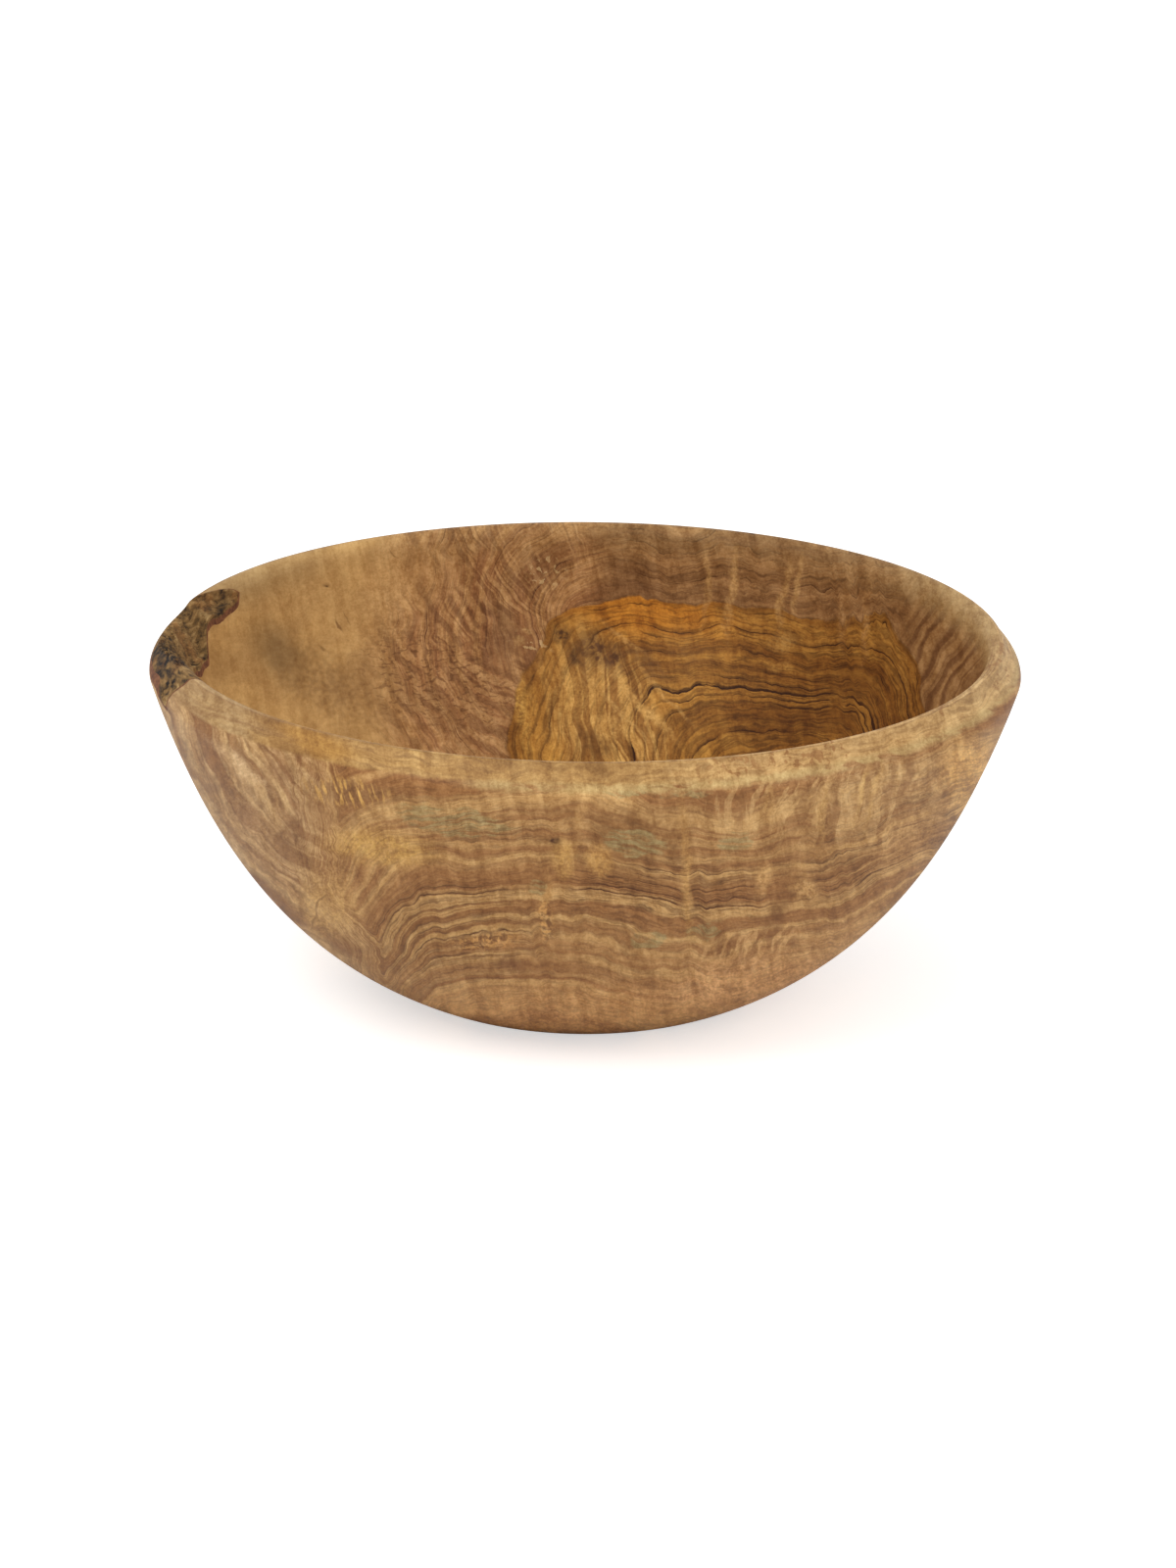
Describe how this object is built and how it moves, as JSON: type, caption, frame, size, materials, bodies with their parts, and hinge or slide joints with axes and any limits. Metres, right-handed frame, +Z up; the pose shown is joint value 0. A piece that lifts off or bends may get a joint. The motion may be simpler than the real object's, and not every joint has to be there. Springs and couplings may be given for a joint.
{
  "type": "wooden serving bowl",
  "caption": "Round turned wooden serving bowl with a thick rounded rim, a flat foot and a natural bark patch in the rim.",
  "frame": {"origin": "middle of the flat foot, on the surface that the bowl rests on", "axes": "+Z up along the turning axis; +Y towards the back, so the bark patch is on the left at -X"},
  "size_m": [0.3, 0.3, 0.125],
  "materials": {
    "olive_wood": "oiled, low sheen",
    "inner_bark": "fibrous, matt",
    "bark_crust": "rough, matt"
  },
  "bodies": {
    "root": {"bowl_body": "olive_wood", "inner_bark": "inner_bark", "outer_bark": "bark_crust"}
  },
  "joints": []
}
